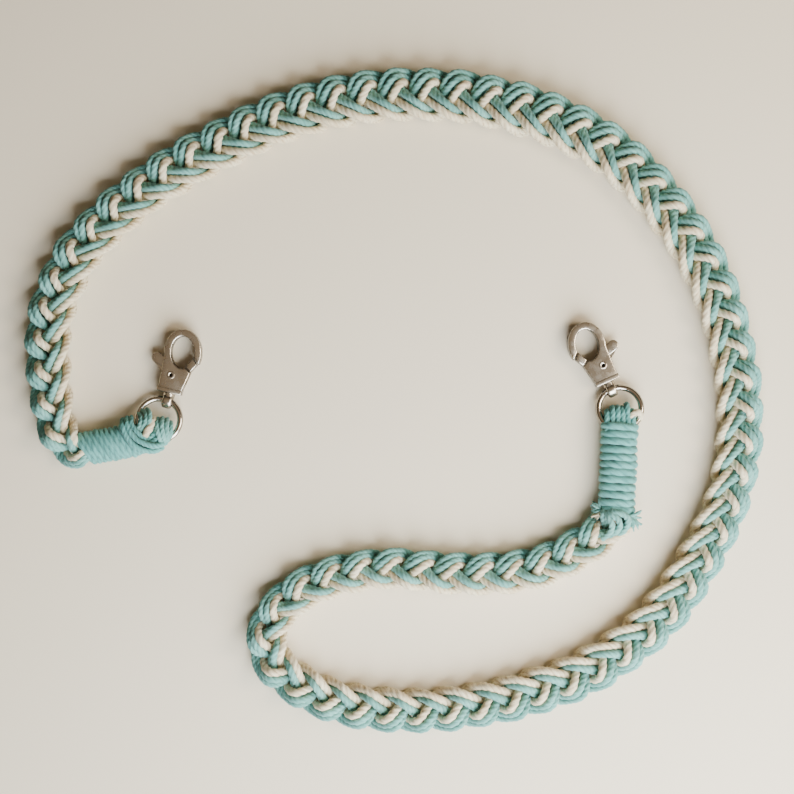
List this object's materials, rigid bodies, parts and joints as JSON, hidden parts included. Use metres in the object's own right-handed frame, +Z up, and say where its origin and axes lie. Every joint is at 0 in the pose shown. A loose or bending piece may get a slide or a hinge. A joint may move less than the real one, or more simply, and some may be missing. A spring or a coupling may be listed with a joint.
{
  "type": "braided camera strap",
  "caption": "Flat braided cotton strap with bound ends, each ending in a wire ring and a swivel trigger hook that snaps on a camera's lug.",
  "frame": {"origin": "on the table under the middle of the whole strap as it lies", "axes": "+X to the right and +Y to the top as seen from above, along the strap's longest extent and across it, +Z up out of the table"},
  "size_m": [0.2832, 0.2554, 0.0112],
  "materials": {
    "braid_cotton": "matt twisted cotton cord, teal and cream",
    "binding_cotton": "matt twisted cotton cord, teal",
    "loop_cotton": "matt twisted cotton cord, teal and cream",
    "hook_metal": "cast and plated, warm nickel",
    "lever_metal": "cast and plated, warm nickel",
    "eye_metal": "cast and plated, warm nickel",
    "ring_metal": "polished nickel-plated wire"
  },
  "bodies": {
    "strap": {"braid_strand_1": "braid_cotton", "braid_strand_2": "braid_cotton", "braid_strand_3": "braid_cotton", "wrap_left": "binding_cotton", "wrap_right": "binding_cotton", "cord_loop_left": "loop_cotton", "cord_loop_right": "loop_cotton", "ring_left": "ring_metal", "ring_right": "ring_metal", "swivel_eye_left": "eye_metal", "swivel_eye_right": "eye_metal"},
    "left_hook": {"hook_body_left": "hook_metal"},
    "left_lever": {"hook_lever_left": "lever_metal"},
    "right_hook": {"hook_body_right": "hook_metal"},
    "right_lever": {"hook_lever_right": "lever_metal"}
  },
  "joints": [
    {"name": "left_swivel", "type": "hinge", "parent": "strap", "child": "left_hook", "pos_m": [-0.0868, 0.00283, 0.00295], "axis": [0.2283, 0.9736, 0], "continuous": true},
    {"name": "left_gate", "type": "hinge", "parent": "left_hook", "child": "left_lever", "pos_m": [-0.08593, 0.00961, 0.00295], "axis": [0, 0, 1], "range_deg": [0, 25], "stiffness_Nm_per_rad": 0.05, "springref_deg": -11.46},
    {"name": "right_swivel", "type": "hinge", "parent": "strap", "child": "right_hook", "pos_m": [0.0823, 0.00693, 0.00295], "axis": [-0.4067, 0.9135, 0], "continuous": true},
    {"name": "right_gate", "type": "hinge", "parent": "right_hook", "child": "right_lever", "pos_m": [0.08018, 0.01343, 0.00295], "axis": [0, 0, -1], "range_deg": [0, 25], "stiffness_Nm_per_rad": 0.05, "springref_deg": -11.46}
  ]
}
